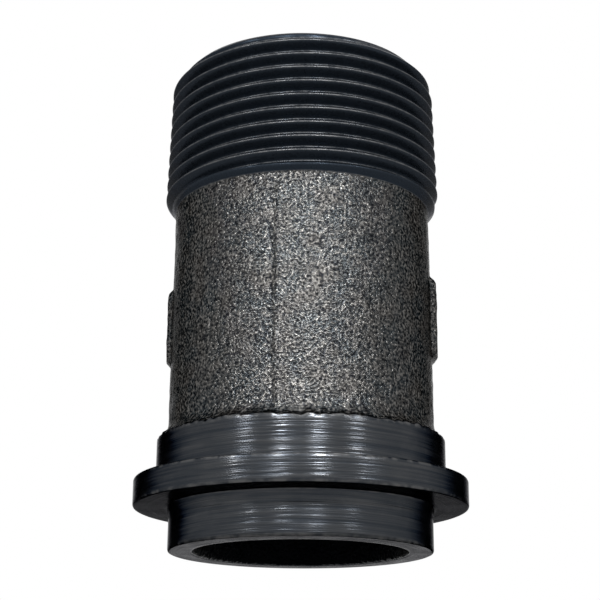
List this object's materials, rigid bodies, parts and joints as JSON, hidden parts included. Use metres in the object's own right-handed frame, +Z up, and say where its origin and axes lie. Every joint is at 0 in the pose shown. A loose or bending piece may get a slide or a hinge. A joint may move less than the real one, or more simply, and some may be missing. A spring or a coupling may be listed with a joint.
{
  "type": "gas meter swivel tailpiece",
  "caption": "One-piece iron tailpiece of a gas meter swivel: taper pipe thread on top, cast barrel, turned ring, flange and short spigot, with a straight bore.",
  "frame": {"origin": "middle of the annular end face of the spigot, on which the part stands", "axes": "+Z up the bore towards the pipe thread; -Y towards the side that the picture shows"},
  "size_m": [0.0492, 0.0492, 0.0744],
  "materials": {
    "black_iron": "rough as-cast skin, with turned ring, flange, spigot and cut thread, all oxidised near black"
  },
  "bodies": {
    "root": {"tailpiece": "black_iron"}
  },
  "joints": []
}
